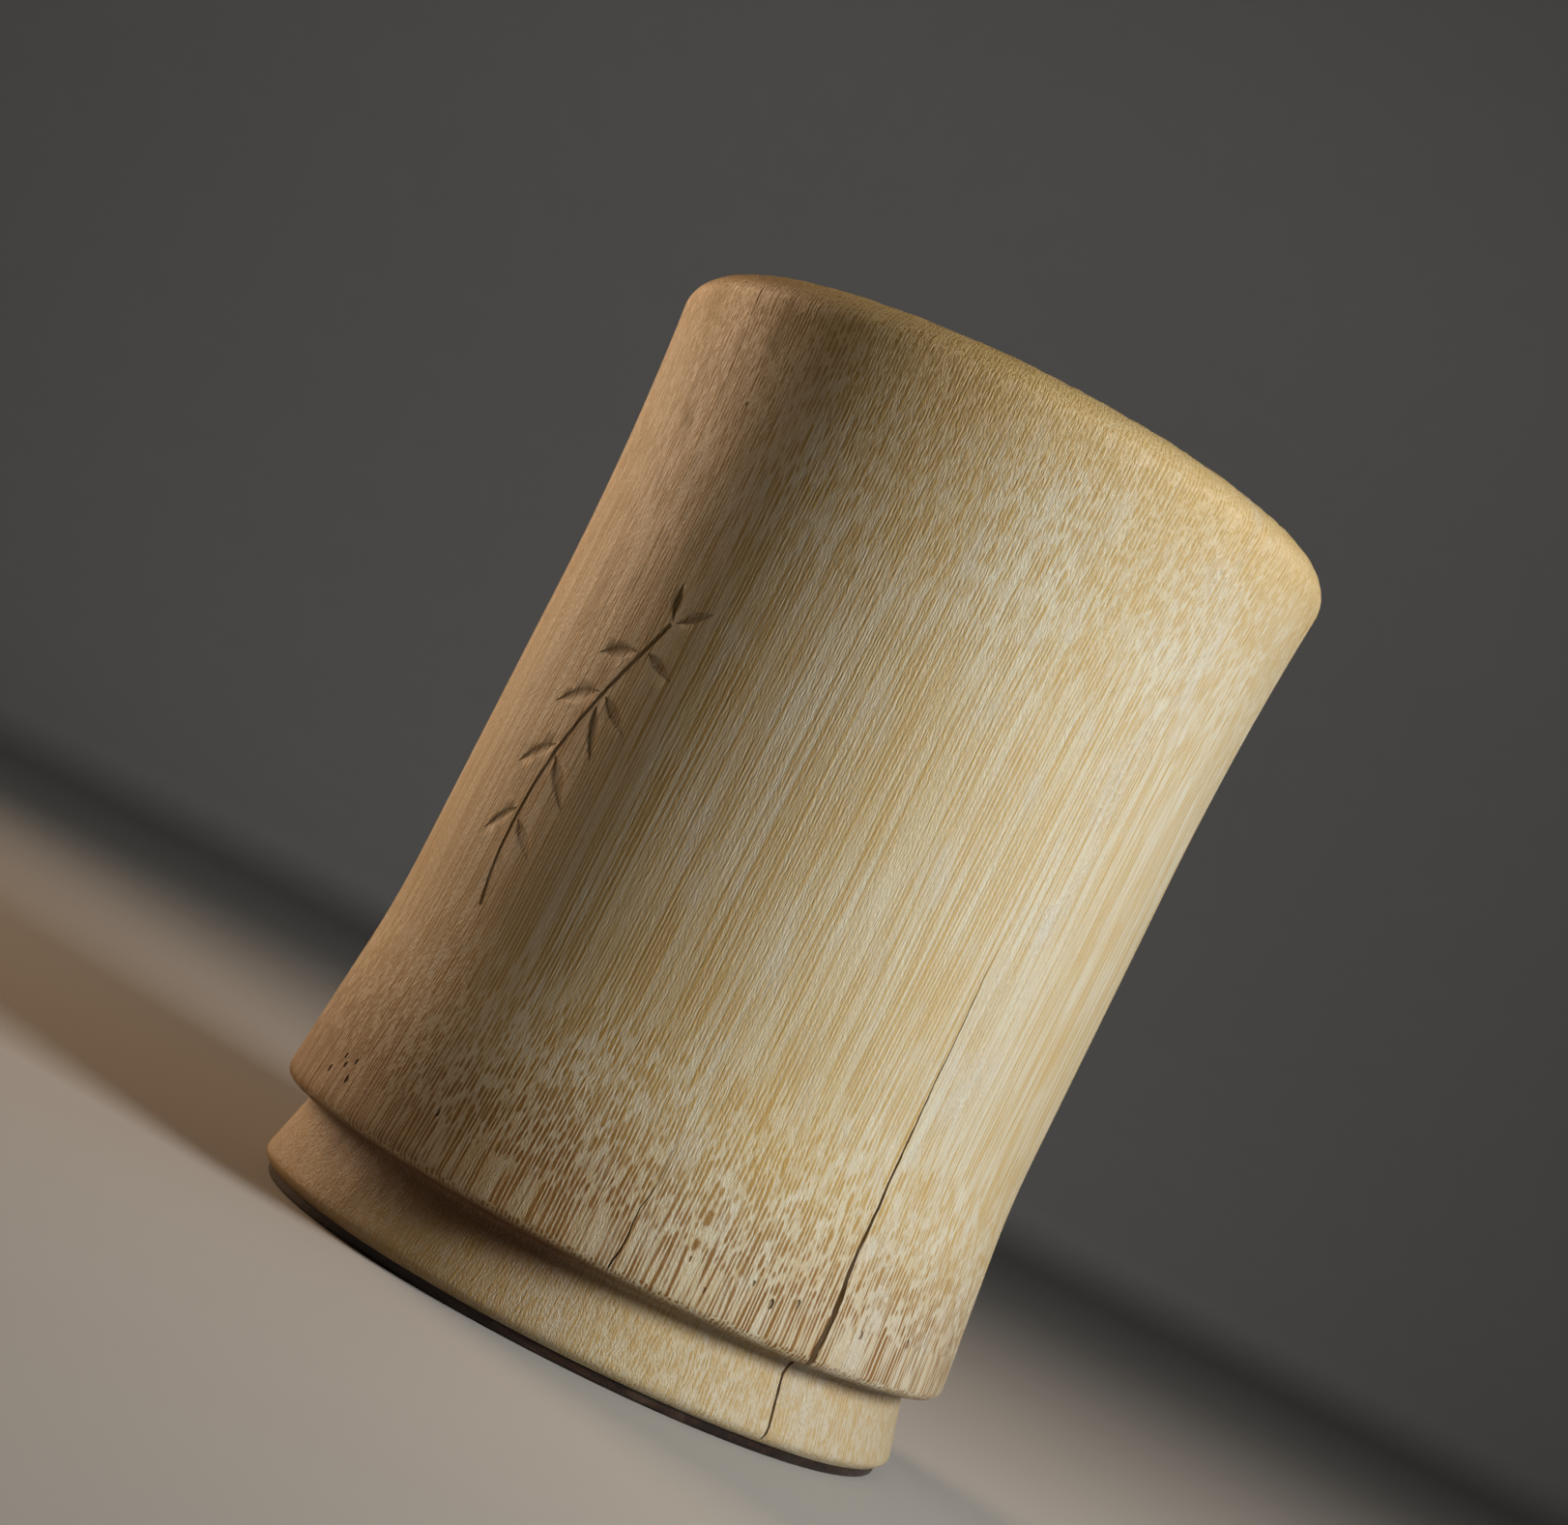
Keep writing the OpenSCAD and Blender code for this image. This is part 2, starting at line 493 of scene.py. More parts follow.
def strands(recipe, around, layer, z):
    """Strands side by side. Gives nearness to a strand's middle, from 0 to 1, and a chance
    that drifts along each strand, partly shared by the strands beside it."""
    place = around / STRAND_PITCH
    number = recipe.math("FLOOR", place)
    off_middle = recipe.math("ABSOLUTE", place - number - 0.5)
    own = recipe.noise(number * 9.37, layer * 1.6, z / STRAND_RUN + number * 3.1, detail=1)
    shared = recipe.noise(around / 2.1, layer * 0.75, z / STRAND_RUN, detail=1)
    return 1 - 2 * off_middle, 0.72 * own + 0.28 * shared


def bamboo(name, stain_and_shade=0.0):
    """Polished bamboo: amber and brown fibres in pale straw, with painted shade on the left side
    and painted sheen on the right. The last argument darkens it towards brown: a real stain for
    the cracks, painted shade for the carved cuts.
    """
    recipe = Recipe(name)
    x, y, z, radius, around, layer = culm_place(recipe)

    # Towards the skin, at the shoulder and the rim, the bundles are dense and browner.
    shoulder = recipe.rise(z, *SHOULDER_FADE)
    skin = recipe.rise(radius, *SKIN_FADE)
    foot = recipe.rise(z, *FOOT_FADE)
    bore = recipe.rise(radius, *BORE_FADE) * recipe.rise(z, *LIP_FADE)
    rim = recipe.rise(z, *RIM_FADE)
    # Painted light: the lit right side is paled towards silver as painted sheen, and the shaded
    # left side is browned as painted warm shade. The skin and shoulder are really browner.
    left = recipe.rise(around, *SHADED_LEFT_FADE)
    right = recipe.rise(around, *LIT_RIGHT_FADE)
    browning_and_shade = skin * (0.15 + 0.85 * shoulder) + 0.3 * left

    middle, chance = strands(recipe, around, layer, z)
    # A fleck starts and ends as a point, because its edges need a better chance.
    bundle = recipe.rise(middle, 0.15, 0.6)
    bundle = bundle * recipe.rise(chance + 0.15 * middle + 0.02 * skin, 0.51, 0.68)
    fine = recipe.noise(around / 0.26, layer * 0.8, z / 14, detail=2)

    # Slow changes of tone: silvery patches, warm patches and wide darker streaks.
    patch = recipe.noise(x / 4.5, y / 4.5, z / 9, detail=3, roughness=0.6)
    warm = recipe.noise(x / 15 + 7, y / 15, z / 30)
    streak = recipe.noise(around / 2.4, layer * 0.3, z / 60)
    bare = recipe.rise(patch, 0.50, 0.72)
    torn = torn_stripe(recipe, around, z) * recipe.rise(patch, 0.4, 0.6)

    straw = recipe.mix(recipe.rise(warm, 0.35, 0.7), STRAW_PALE, STRAW_WARM)
    # Silvery bare patches are real; the lit right side's share of silver is painted sheen.
    straw = recipe.mix(0.4 * bare + 0.15 * browning_and_shade + 0.45 * right, straw, SILVER)
    fibre = recipe.mix(browning_and_shade, FIBRE_AMBER, FIBRE_BROWN)
    body = recipe.mix(0.45 * recipe.rise(fine, 0.5, 0.62), straw, FIBRE_AMBER)
    body = recipe.mix(0.18 * recipe.rise(streak, 0.42, 0.72) + 0.12 * rim, body, FIBRE_AMBER)
    # Painted warm shade on the shaded left side, stronger near the rim.
    body = recipe.mix((0.26 + 0.16 * rim) * left, body, SHADE_TAN)
    body = recipe.mix(0.55 * recipe.rise(z, 128, 145), body, RIM_GOLD)
    # Browner towards the foot; the extra on the shaded left side is painted shade.
    body = recipe.mix(recipe.rise(z, 36, 18) * (0.08 + 0.3 * left), body, FIBRE_BROWN)
    share = bundle * (1 - 0.5 * bare) * (1 - 0.35 * foot)
    # Flecks stronger on the shaded left side: painted contrast of grazing light.
    share = share * (0.66 + 0.3 * shoulder + 0.2 * left)
    color = recipe.mix(share, body, fibre)
    color = recipe.mix(0.75 * bore, color, BORE_TAN)
    # Painted shade: the foot under the ledge is darkened, most of all where the ledge's shadow
    # falls on the shaded side left of the front.
    corner = recipe.rise(recipe.math("ABSOLUTE", around + 26), 36, 16)
    under_ledge_shade = 0.12 + 0.35 * recipe.rise(z, 9.5, 13.0) + 0.5 * corner * recipe.rise(z, 6.0, 10.5)
    color = recipe.mix(under_ledge_shade * foot, color, SPLIT_STAIN_AND_SHADE_BROWN)
    # Towards brown: a real stain in the split copy, painted shade in the carved copy.
    color = recipe.mix(stain_and_shade, color, SPLIT_STAIN_AND_SHADE_BROWN) if stain_and_shade else color

    # Fine fuzz stands up all over, and more of it in the torn stripe. Its specks are paled
    # towards silver as painted glints, and the torn stripe is paled as painted sheen and sparkle.
    grit = recipe.noise(x / 0.16, y / 0.16, z / 0.9, detail=2, roughness=0.6)
    fuzz_glint = recipe.rise(grit, 0.52, 0.68)
    color = recipe.mix(0.22 * (1 - 0.6 * bundle) * fuzz_glint, color, SILVER)
    color = recipe.mix(torn * (0.2 + 0.5 * fuzz_glint), color, TORN_SHEEN_PALE)
    height = 0.3 * fine + 0.12 * bundle + (1.0 + 0.6 * torn) * grit
    roughness = 0.36 + 0.12 * bare + 0.10 * bundle + 0.2 * grit + 0.2 * bore
    return recipe.finish(color, roughness, recipe.bump(height, 0.2 * MM),
                         Specular_IOR_Level=0.55)


def torn_stripe(recipe, around, z):
    """A stripe up the wall where the scraper tore the fibres, with a ragged edge."""
    middle = math.radians(STRIPE_TURN) * WAIST_R / MM
    from_middle = recipe.math("ABSOLUTE", around - middle)
    edge = recipe.noise(around / 0.9, z / 4, 0.5)
    return recipe.rise(from_middle + 7 * edge, 9.5, 4.0)


# ---------------------------------------------------------------- the culm wall

def shoulder_to_rim():
    """The outside above the ledge: out of the shoulder's round, in to the waist, out again."""
    lower = arc(WAIST_R + LOWER_BEND_R, LEDGE_Z + LOWER_TAPER_H, LOWER_BEND_R,
                180 + LOWER_TAPER_ANGLE, 180, 9)
    sweep = math.degrees(math.asin((UPPER_SWEEP_H - RIM_ROUND) / UPPER_SWEEP_R))
    upper = arc(WAIST_R + UPPER_SWEEP_R, RIM_Z - UPPER_SWEEP_H, UPPER_SWEEP_R,
                180, 180 - sweep, 18)
    start = (SHOULDER_R, LEDGE_Z + LEDGE_ROUND)
    return divided([start] + lower, TAPER_STEP) + divided(lower[-1:] + upper, SWEEP_STEP)[1:]


def culm_outline():
    """From the bore at the foot, out round the foot, up the wall, over the rim and down."""
    foot = [(BORE_R, FOOT_Z)]
    foot += arc(FOOT_R - FOOT_ROUND, FOOT_Z + FOOT_ROUND, FOOT_ROUND, -90, 0, 5)
    neck = arc(NECK_R + NECK_FILLET, LEDGE_Z - NECK_FILLET, NECK_FILLET, 180, 90, 4)
    ledge = arc(SHOULDER_R - LEDGE_ROUND, LEDGE_Z + LEDGE_ROUND, LEDGE_ROUND, -90, 0, 6)
    face = shoulder_to_rim()
    rim = arc(face[-1][0] - RIM_ROUND, RIM_Z - RIM_ROUND, RIM_ROUND, 0, 90, 9)
    lip = arc(BORE_R + LIP_ROUND, RIM_Z - LIP_ROUND, LIP_ROUND, 90, 180, 6)
    outside = divided(foot + neck + ledge, EDGE_STEP) + face[1:]
    outside += divided(rim[1:] + lip, EDGE_STEP)
    return outside + divided([lip[-1], (BORE_R, FOOT_Z)], BORE_STEP)[1:]


# A crack's line up the wall: height, distance to the side and width, in millimetres.
LONG_CRACK = [(12.4, 0.1, 1.15), (16, -0.15, 1.2), (19, 0.25, 1.1), (22, 0.35, 1.0),
              (26, 0.1, 0.82), (30, 0, 0.7), (36, 0.35, 0.55), (42, 0.42, 0.42), (48, 0.4, 0.34),
              (54, 0.15, 0.28), (60, 0.1, 0.24), (66, -0.15, 0.2), (70, -0.35, 0.14),
              (74, -0.2, 0.05)]
FOOT_CRACK = [(0.9, 0.2, 0.3), (4, 0.8, 0.45), (7.6, 0.5, 0.5), (10.9, 0.45, 0.55),
              (12.8, 1.2, 0.6)]
SHORT_CRACK = [(12.4, -0.25, 0.36), (15.4, -0.25, 0.36), (18, 0.15, 0.32), (21, 0, 0.26),
               (23, -0.1, 0.22), (25.5, 0.5, 0.16), (28, 0.55, 0.1), (31, 0.5, 0.08),
               (34.5, 0.6, 0.05)]
RIM_CRACK = [(123.5, 0.7, 0.05), (128, 0.5, 0.12), (134, 0.1, 0.16), (139, -0.3, 0.2),
             (143, -0.6, 0.24)]
# A crack's points lie about this far apart, and it is deeper where it is wider.
CRACK_STEP = 1.3
CRACK_DEPTH = 0.4
CRACK_DEPTH_SHARE = 0.8


def crack(name, line, turn, outline, dice):
    """A V-shaped split along a line, its edges broken a little at random."""
    stations = []
    for (z0, x0, width0), (z1, x1, width1) in zip(line, line[1:]):
        steps = max(1, round((z1 - z0) / CRACK_STEP))
        for i in range(steps):
            share = i / steps
            width = (width0 + (width1 - width0) * share) * dice.uniform(0.85, 1.12)
            x = x0 + (x1 - x0) * share + dice.uniform(-0.06, 0.06)
            depth = CRACK_DEPTH + CRACK_DEPTH_SHARE * width
            stations.append((x, z0 + (z1 - z0) * share, width, depth))
    z, x, width = line[-1]
    stations.append((x, z, width, CRACK_DEPTH))
    return wrapped(gouge(name, stations, sides=4), turn, outline)


# Small pits, most of them left by rootlets above the ledge: turn, height and width.
PITS = [(25.4, 19.1, 0.8), (29.5, 20.5, 0.7), (42.7, 19.9, 0.7), (54.2, 20.8, 0.8),
        (21.6, 20.6, 0.5), (11.5, 20.0, 0.5), (15.2, 17.2, 0.5), (-42.2, 124.9, 0.4)]
BACK_PITS = 22


def make_pits(outline, dice):
    """The pits above, and more of them round the back."""
    spots = PITS + [(dice.uniform(70, 330), dice.uniform(17, 22), dice.uniform(0.4, 0.8))
                    for _ in range(BACK_PITS)]
    pits = []
    for turn, z, width in spots:
        half, deep = width / 2, width * 0.6
        stations = [(0, z - width, half * 0.5, deep * 0.3), (0, z - half, width * 0.9, deep),
                    (0, z + half, width, deep), (0, z + width, half * 0.5, deep * 0.3)]
        pits.append(wrapped(gouge("pit", stations), turn, outline))
    return joined("pits", pits)


# The sprig, flat: millimetres to the side of its middle, and height.
TWIG = [(0.5, 48), (-0.6, 52), (-1.3, 56.5), (-1.4, 61), (-1.0, 66), (-0.2, 71), (1.3, 76),
        (3.2, 81), (5.0, 85), (6.6, 88.5), (8.6, 93)]
# Its leaves: base, the way it points in degrees (0 to the right, 90 up), length and width.
LEAVES = [(-1.4, 61, -35, 7, 1.9), (-1.5, 62.4, -142, 6.5, 1.8), (-0.2, 71, -46, 8, 2.1),
          (-0.1, 72.4, -150, 7.5, 2.0), (3.2, 81, -30, 7, 1.9), (2.7, 79.6, -62, 7.5, 1.8),
          (3.1, 81.2, -160, 8.5, 2.2), (6.6, 88.5, -20, 6, 1.7), (6.2, 88.0, -168, 7, 1.9),
          (8.6, 93, 34, 6, 1.7), (8.6, 93, 102, 5.5, 1.6)]
# Each leaf starts this far from the twig's middle, so that no two cuts meet.
LEAF_GAP = 0.8
# Along a leaf: the share of its length, and of its width there.
LEAF_SHAPE = [(0, 0.15), (0.12, 0.42), (0.3, 0.9), (0.45, 1.0), (0.65, 0.78), (0.85, 0.4),
              (1.0, 0.08)]
LEAF_DROOP = 0.06
LEAF_TIP_DEPTH = 0.06
LEAF_SWELL_DEPTH = 0.12
TWIG_WIDTH = 0.9
TWIG_DEPTH = 0.14


def carved_sprig(outline):
    """A twig and leaves of bamboo, cut with a round gouge."""
    twig = [(x, z, TWIG_WIDTH, TWIG_DEPTH) for x, z in TWIG]
    cuts = [gouge("twig", twig)]
    for x, z, heading, length, width in LEAVES:
        way_x, way_z = math.cos(math.radians(heading)), math.sin(math.radians(heading))
        droop = -LEAF_DROOP * length
        stations = [(x + (LEAF_GAP + length * t) * way_x,
                     z + (LEAF_GAP + length * t) * way_z + droop * t * t,
                     width * swell, LEAF_TIP_DEPTH + LEAF_SWELL_DEPTH * swell)
                    for t, swell in LEAF_SHAPE]
        cuts.append(gouge("leaf", stations))
    return wrapped(joined("sprig", cuts), SPRIG_TURN, outline)


# Two nicks where something scratched the front.
NICKS = [[(-0.7, 92.1, 0.08, 0.06), (-0.1, 91.0, 0.3, 0.16), (0.35, 90.0, 0.26, 0.15),
          (0.2, 89.0, 0.08, 0.06)],
         [(-1.3, 94.6, 0.06, 0.05), (-0.9, 93.4, 0.18, 0.1), (-0.2, 92.9, 0.06, 0.05)]]


def make_nicks(outline):
    """The nicks above, ready to cut into the front."""
    cuts = [gouge("nick", stations, sides=6) for stations in NICKS]
    return wrapped(joined("nicks", cuts), NICK_TURN, outline)


# The base fits the bore below this height, and the sprig's surroundings are spared this far.
FITTED_Z = 20 * MM
SPARED_TURNS = 30
SPARED_HEIGHT = 60 * MM


def wall_wear(point):
    """The culm is a little uneven, except where the base fits it and where it is carved."""
    radius = math.hypot(point.x, point.y)
    if point.z < FOOT_Z + 0.2 * MM or (radius < BORE_R + 1 * MM and point.z < FITTED_Z):
        return 0
    turn = math.degrees(math.atan2(point.x, -point.y))
    carved = near(turn, SPRIG_TURN, SPARED_TURNS)
    carved *= near(point.z, SPRIG_MIDDLE_Z, SPARED_HEIGHT)
    return 1 - 0.95 * min(1, 3 * carved)


def edge_wear(point):
    """Only the rim and the ledge's edge."""
    radius = math.hypot(point.x, point.y)
    at_ledge = near(point.z, LEDGE_Z + 0.6 * MM, 2 * MM) * (radius > NECK_R + LEDGE_W / 2)
    return max(near(point.z, RIM_Z, 5 * MM), 0.6 * at_ledge)


def pin_places():
    """The turns that set one pin, or its hole, out all round."""
    return [Matrix.Rotation(math.tau * i / PIN_COUNT, 4, "Z") for i in range(PIN_COUNT)]


def pin_holes():
    """Cutters for the holes, from below the plate to past the pins' tips."""
    width = 2 * (PIN_R + PIN_FIT) / MM
    top = (pins_high.z + PIN_TIP_GAP) / MM
    stations = [(PIN_RING_R / MM, z, width, width / 2) for z in (-1, top)]
    return copied(gouge("pin_holes", stations, sides=32), pin_places())


def make_wall():
    """The wall: turned, worn, then split, pitted, carved and drilled for the pins."""
    dice = random.Random(11)
    wall = turned("bamboo_culm_wall", culm_outline(), WALL_FACETS)
    polished = bamboo("polished_bamboo")
    split = bamboo("split_bamboo", stain_and_shade=0.55)
    # The carved cuts get a darker copy: painted shade in the recesses.
    carved = bamboo("carved_bamboo_shaded", stain_and_shade=0.25)
    wall.data.materials.append(polished)
    weather(wall, "uneven culm", grain=24 * MM, stretch=5, depth=0.3 * MM, share=wall_wear)
    weather(wall, "worn edges", grain=1.6 * MM, stretch=1, depth=0.35 * MM, share=edge_wear)
    face = shoulder_to_rim()
    foot = [(FOOT_R, FOOT_Z + FOOT_ROUND), (NECK_R, LEDGE_Z - NECK_FILLET)]
    splits = [crack("long crack", LONG_CRACK, LONG_CRACK_TURN, face, dice),
              crack("short crack", SHORT_CRACK, SHORT_CRACK_TURN, face, dice),
              crack("rim crack", RIM_CRACK, RIM_CRACK_TURN, face, dice),
              make_pits(face, dice)]
    cut_away(wall, joined("splits", splits), split)
    cut_away(wall, crack("foot crack", FOOT_CRACK, LONG_CRACK_TURN, foot, dice), split)
    cut_away(wall, joined("cuts", [carved_sprig(face), make_nicks(face)]), carved)
    cut_away(wall, pin_holes(), polished)
    smoothed(wall)
    return wall


# ---------------------------------------------------------------- the base

def hardwood(name):
    """Near-black heavy wood, its grain along X, with open pores and fine turning rings."""
    recipe = Recipe(name)
    x, y, z = recipe.place()
    radius = (x * x + y * y) ** 0.5
    bend = recipe.noise(x / 40, y / 12, z / 12, detail=1)
    band = recipe.noise(x / 45, y / 1.1 + 3 * bend, z / 1.6, detail=3, roughness=0.6)
    pore = recipe.rise(recipe.noise(x / 2.2, y / 0.14, z / 0.14, detail=0), 0.62, 0.72)
    ring = recipe.noise(radius / 0.12, 0.5, 0.5, detail=1)
    color = recipe.mix(recipe.rise(band, 0.4, 0.65), HARDWOOD_DARK, HARDWOOD_BROWN)
    color = recipe.mix(0.7 * pore, color, PORE_BLACK)
    dust = recipe.noise(x / 9, y / 9, z / 9, detail=4, roughness=0.65)
    dust = recipe.rise(dust, 0.5, 0.75)
    color = recipe.mix(0.12 * dust, color, DUST)
    height = 0.5 * ring + 0.3 * band - 1.2 * pore
    return recipe.finish(color, 0.34 + 0.2 * dust + 0.25 * pore,
                         recipe.bump(height, 0.06 * MM, 0.8), Specular_IOR_Level=0.5)


def lacquer(name):
    """Raw lacquer laid on by hand: dark red-brown, glossy, dusty where it thins out."""
    recipe = Recipe(name)
    x, y, z = recipe.place()
    cloud = recipe.noise(x / 3, y / 3, z / 3, detail=3)
    grit = recipe.noise(x / 0.3, y / 0.3, z / 0.3, detail=1)
    color = recipe.mix(recipe.rise(cloud, 0.35, 0.7), LACQUER_DARK, LACQUER_RED)
    return recipe.finish(color, recipe.rise(cloud, 0.3, 0.75, 0.16, 0.42),
                         recipe.bump(cloud + 0.15 * grit, 0.25 * MM, 0.7), Coat_Weight=0.3,
                         Coat_Roughness=0.12)


def pin_bamboo(name):
    """Bamboo split into pins: strands along the pin, and dark dots on its ends."""
    recipe = Recipe(name)
    x, y, z = recipe.place()
    dot = recipe.rise(recipe.noise(x / 0.19, y / 0.19, z / 9, detail=1), 0.50, 0.64)
    tone = recipe.noise(x / 0.9, y / 0.9, z / 6)
    color = recipe.mix(recipe.rise(tone, 0.35, 0.65), PIN_PALE, PIN_TAN)
    color = recipe.mix(0.75 * dot, color, PIN_DOT)
    return recipe.finish(color, 0.55 + 0.15 * dot, recipe.bump(tone - 0.5 * dot, 0.1 * MM, 0.8))


def with_rings(outline, radii, width, depth):
    """The outline of a flat face with shallow V rings cut in it, each at its radius."""
    cut = []
    (r0, z0), (r1, z1) = outline
    for radius in radii:
        z = z0 + (z1 - z0) * (radius - r0) / (r1 - r0)
        cut += [(radius - width, z), (radius, z + depth), (radius + width, z)]
    return [outline[0]] + cut + [outline[1]]


# The rings that turning left on the plate: radii in millimetres, then half width and depth.
UNDER_RINGS = (7, 15, 23, 31)
TOP_RINGS = (38, 25, 12)
UNDER_RING_CUT = (0.35 * MM, 0.16 * MM)
TOP_RING_CUT = (-0.4 * MM, -0.18 * MM)


def make_plate():
    """The plate, hollowed below inside its standing ring, a dimple in the middle of each face."""
    hollow = HOLLOW_DEPTH
    under = [(0, hollow + 0.5 * MM), (0.5 * MM, hollow + 0.4 * MM), (1.2 * MM, hollow)]
    under += with_rings([(1.3 * MM, hollow), (HOLLOW_R - 1.6 * MM, hollow)],
                        [r * MM for r in UNDER_RINGS], *UNDER_RING_CUT)
    under += [(HOLLOW_R - 1.0 * MM, hollow * 0.85), (HOLLOW_R - 0.5 * MM, hollow * 0.4),
              (HOLLOW_R, 0)]
    edge = arc(PLATE_R - PLATE_EDGE_ROUND, PLATE_EDGE_ROUND, PLATE_EDGE_ROUND, -90, 0, 5)
    top = with_rings([(PLUG_R, FLOOR_Z), (1.4 * MM, FLOOR_Z)],
                     [r * MM for r in TOP_RINGS], *TOP_RING_CUT)
    outline = divided(under + edge + [(PLATE_R, FOOT_Z), (PLUG_R, FOOT_Z)], PLATE_STEP)
    outline += divided([outline[-1]] + top + [(0, FLOOR_Z - 0.5 * MM)], PLATE_STEP)[1:]
    plate = turned("hardwood_base_plate", outline, PLATE_FACETS)
    wood = hardwood("dark_hardwood")
    plate.data.materials.append(wood)
    cut_away(plate, pin_holes(), wood)
    smoothed(plate)
    return plate


def make_bedding():
    """The lacquer under the wall's inside corner: a thin film round the plug and a cove."""
    cove = arc(BORE_R - COVE_R, FLOOR_Z + COVE_R, COVE_R, 0, -90, 8)
    outline = [(PLUG_R, FLOOR_Z), (PLUG_R, FOOT_Z), (BORE_R, FOOT_Z)] + cove
    outline.append(outline[0])
    bedding = turned("lacquer_bedding_bead", divided(outline, BEAD_STEP), BEAD_FACETS)
    bedding.data.materials.append(lacquer("raw_lacquer"))
    smoothed(bedding, angle=60)
    return bedding


def make_pins():
    """Four whittled pins, driven up through the plate into the foot."""
    at, width = PIN_RING_R / MM, 2 * PIN_R / MM
    low, top = PIN_RECESS / MM, (pins_high.z - PIN_RECESS) / MM
    sizes = [(low, 0.8), (low + 0.12, 0.97), (low + 0.5, 1.0), (top - 1, 1.0), (top, 0.5)]
    stations = [(at, z, width * share, width * share / 2) for z, share in sizes]
    pins = copied(gouge("driven_bamboo_pins", stations, sides=14), pin_places())
    pins.data.materials.append(pin_bamboo("pin_bamboo"))
    smoothed(pins, angle=30)
    return pins


# ---------------------------------------------------------------- studio

FLOOR_REACH = 2.4
FLOOR_BEND = 0.9
FLOOR_WALL = 2.2
FLOOR_FACETS = 96


def make_floor():
    """A pale floor that sweeps up into a wall all round, with no corner."""
    bpy.ops.object.select_all(action="DESELECT")
    bpy.ops.mesh.primitive_circle_add(vertices=FLOOR_FACETS, radius=FLOOR_REACH - FLOOR_BEND,
                                      fill_type="NGON")
    floor = bpy.context.object
    floor.name = "studio_floor"
    sweep = arc(FLOOR_REACH - FLOOR_BEND, FLOOR_BEND, FLOOR_BEND, -90, 0, 16)
    sweep.append((FLOOR_REACH, FLOOR_WALL))
    bpy.ops.object.mode_set(mode="EDIT")
    bpy.ops.mesh.select_all(action="SELECT")
    bpy.ops.mesh.select_mode(type="EDGE")
    bpy.ops.mesh.region_to_loop()
    for (r0, z0), (r1, z1) in zip(sweep, sweep[1:]):
        bpy.ops.mesh.extrude_edges_move(TRANSFORM_OT_translate={"value": (0, 0, z1 - z0)})
        bpy.ops.transform.resize(value=(r1 / r0, r1 / r0, 1))
    bpy.ops.mesh.select_mode(type="VERT")
    leave()
    bpy.ops.object.shade_smooth()
    recipe = Recipe("pale_floor")
    x, y, z = recipe.place()
    mottle = recipe.noise(x / 40, y / 40, z / 40, detail=3)
    floor.data.materials.append(recipe.finish(
        recipe.mix(mottle, FLOOR_LIGHT, FLOOR_LIGHTER), 0.75, recipe.bump(mottle, 0.05 * MM)))


def from_front(turn, height_angle, distance):
    """A point round the pot: turn from the front, angle above the floor, distance."""
    turn, height_angle = math.radians(turn), math.radians(height_angle)
    level = distance * math.cos(height_angle)
    return Vector((level * math.sin(turn), -level * math.cos(turn),
                   distance * math.sin(height_angle)))


def make_softbox(name, place, aim, size, spread, power, color):
    """A soft rectangular light at a place, aimed at a point. spread is how wide it shines."""
    light = bpy.data.lights.new(name, "AREA")
    light.shape = "RECTANGLE"
    light.size, light.size_y = size
    light.spread = math.radians(spread)
    light.energy = power
    light.color = color
    lamp = bpy.data.objects.new(name, light)
    bpy.context.scene.collection.objects.link(lamp)
    lamp.location = place
    lamp.rotation_mode = "QUATERNION"
    lamp.rotation_quaternion = (aim - place).to_track_quat("-Z", "Y")


WHITE = (1.0, 1.0, 1.0)
KEY_WHITE = (1.0, 0.985, 0.955)
LAMP_AMBER = (1.0, 0.70, 0.46)
ROOM_TINT = (1, 0.8, 0.6, 1)
ROOM_GLOW = 0.012


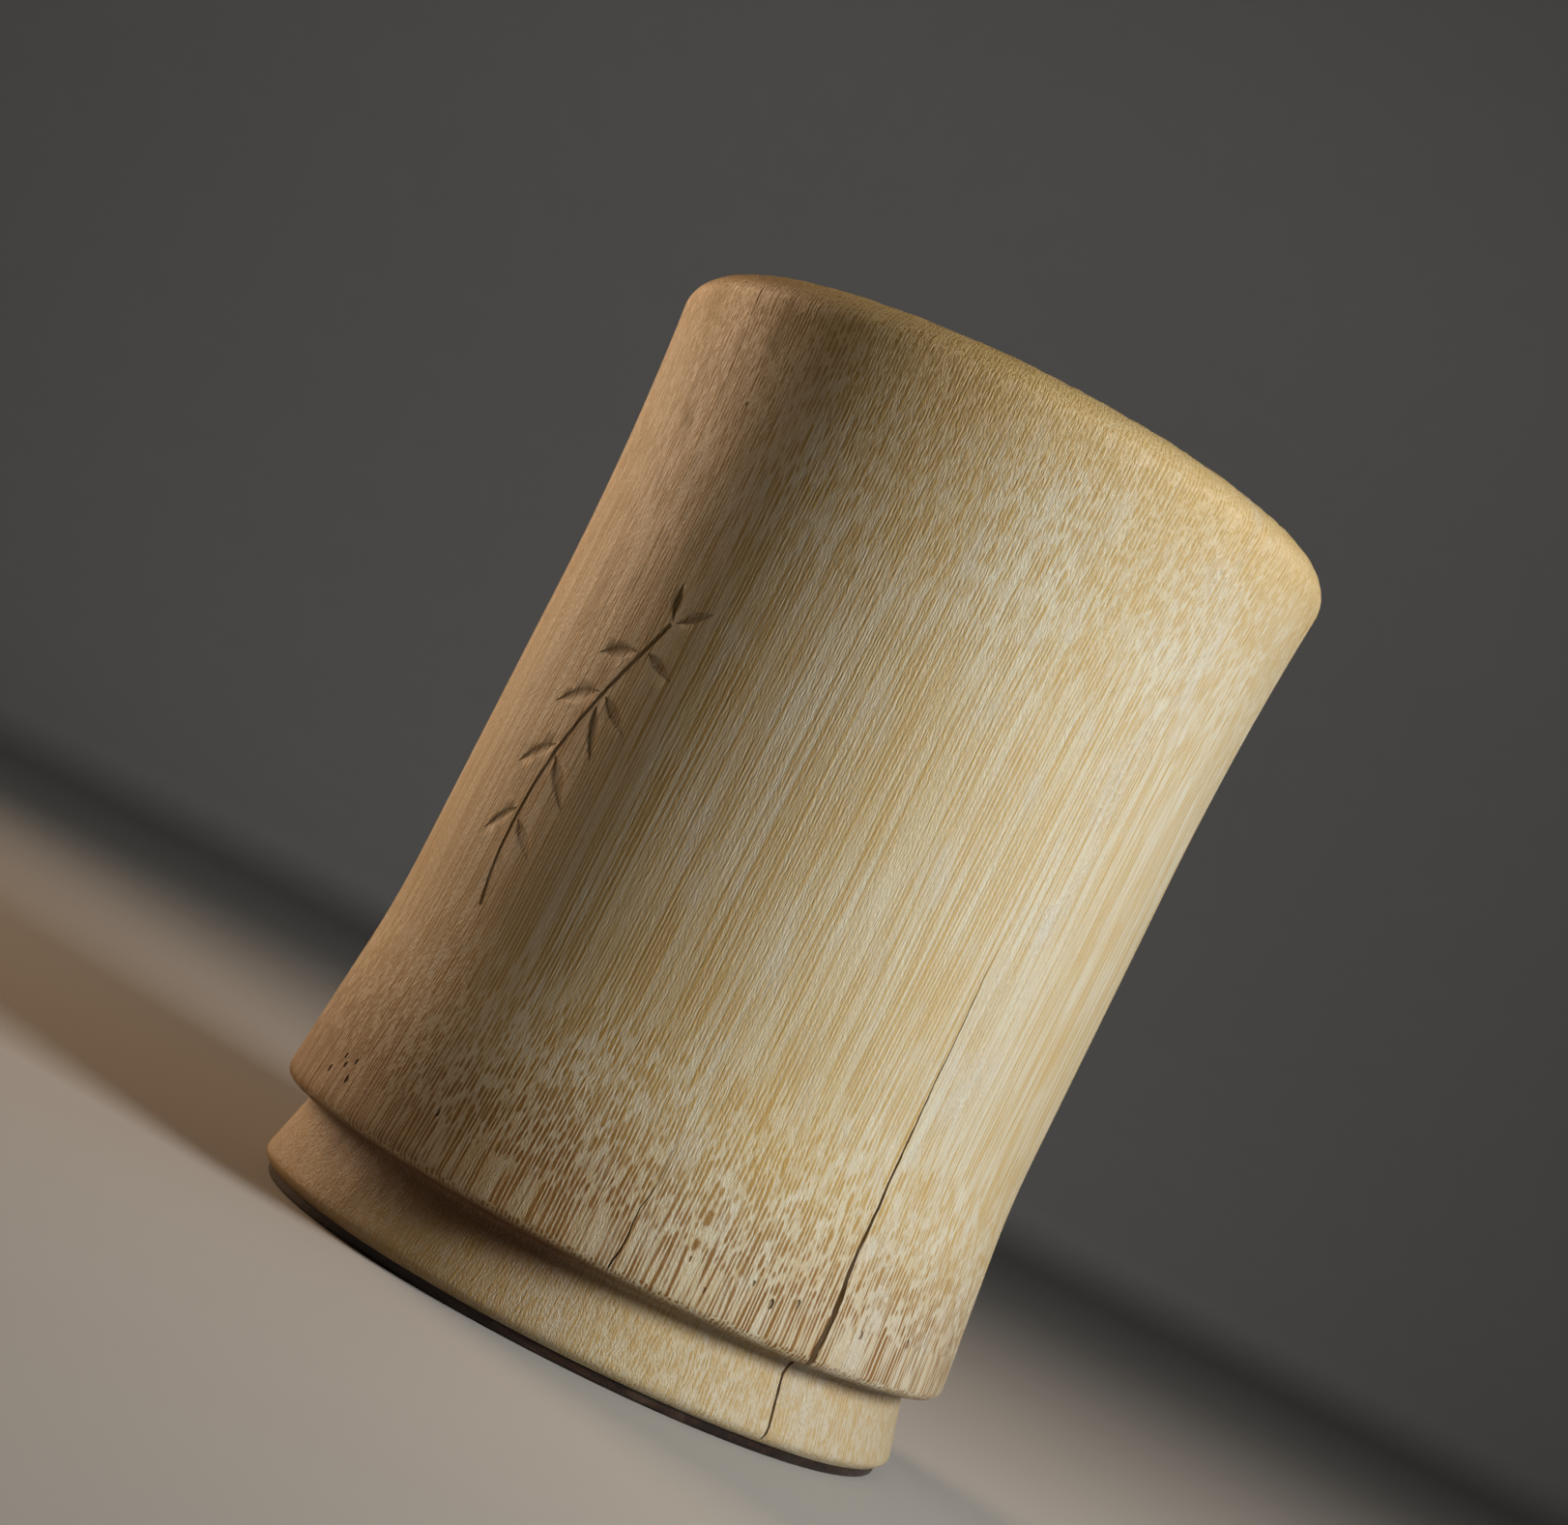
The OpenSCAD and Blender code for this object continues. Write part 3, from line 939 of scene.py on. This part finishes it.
def light_studio():
    """A key light on the right, a warm one behind the left, one above, one for the backdrop."""
    middle = Vector((0, 0, RIM_Z / 2))
    make_softbox("key_softbox", middle + from_front(53, 23, 0.62), middle, size=(0.22, 0.22),
                 spread=110, power=1.26, color=KEY_WHITE)
    make_softbox("left_softbox", middle + from_front(-123.5, 16, 0.7), middle,
                 size=(0.3, 0.42), spread=70, power=0.57, color=LAMP_AMBER)
    make_softbox("top_softbox", middle + from_front(62, 66, 1.5), middle, size=(0.9, 0.9),
                 spread=180, power=0.8, color=WHITE)
    make_softbox("backdrop_softbox", Vector((0, 0.9, 1.0)), Vector((0, 2.4, 0.7)),
                 size=(0.6, 0.3), spread=180, power=2.8, color=WHITE)
    world = bpy.data.worlds.new("studio_world")
    world.use_nodes = True
    background = world.node_tree.nodes["Background"]
    background.inputs["Color"].default_value = ROOM_TINT
    background.inputs["Strength"].default_value = ROOM_GLOW
    bpy.context.scene.world = world
    bpy.context.scene.view_settings.view_transform = "Standard"
    bpy.context.scene.view_settings.look = "Medium High Contrast"


CAMERA_DISTANCE = 0.4205
CAMERA_HEIGHT = 0.057
CAMERA_YAW = -1.165
CAMERA_PITCH = 3.954
CAMERA_ROLL = 26.78
SENSOR_WIDTH = 36.0
LENS = 65.34


def set_camera():
    """Low in front of the pot and tipped sideways, so that the pot leans in the frame."""
    yaw, pitch, roll = (math.radians(a) for a in (CAMERA_YAW, CAMERA_PITCH, CAMERA_ROLL))
    forward = Vector((math.sin(yaw) * math.cos(pitch), math.cos(yaw) * math.cos(pitch),
                      math.sin(pitch)))
    level = forward.cross(Vector((0, 0, 1))).normalized()
    upright = level.cross(forward)
    right = level * math.cos(roll) + upright * math.sin(roll)
    up = upright * math.cos(roll) - level * math.sin(roll)
    camera = bpy.data.cameras.new("camera")
    camera.sensor_width = SENSOR_WIDTH
    camera.lens = LENS
    camera.clip_start = 0.01
    camera.clip_end = 20
    stand = bpy.data.objects.new("camera", camera)
    bpy.context.scene.collection.objects.link(stand)
    turn = Matrix((right, up, -forward)).transposed()
    stand.matrix_world = Matrix.Translation((0, -CAMERA_DISTANCE, CAMERA_HEIGHT)) @ turn.to_4x4()
    bpy.context.scene.camera = stand


# ---------------------------------------------------------------- putting it together

set_camera()
make_floor()
light_studio()

PIECES = [(make_wall, "bamboo_wall", "bamboo"), (make_plate, "base_plate", "dark_hardwood"),
          (make_bedding, "lacquer_bedding", "lacquer"), (make_pins, "bamboo_pins", "pin_bamboo")]
for make, node, slot in PIECES:
    piece = make()
    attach(piece, "root")
    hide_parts(node)
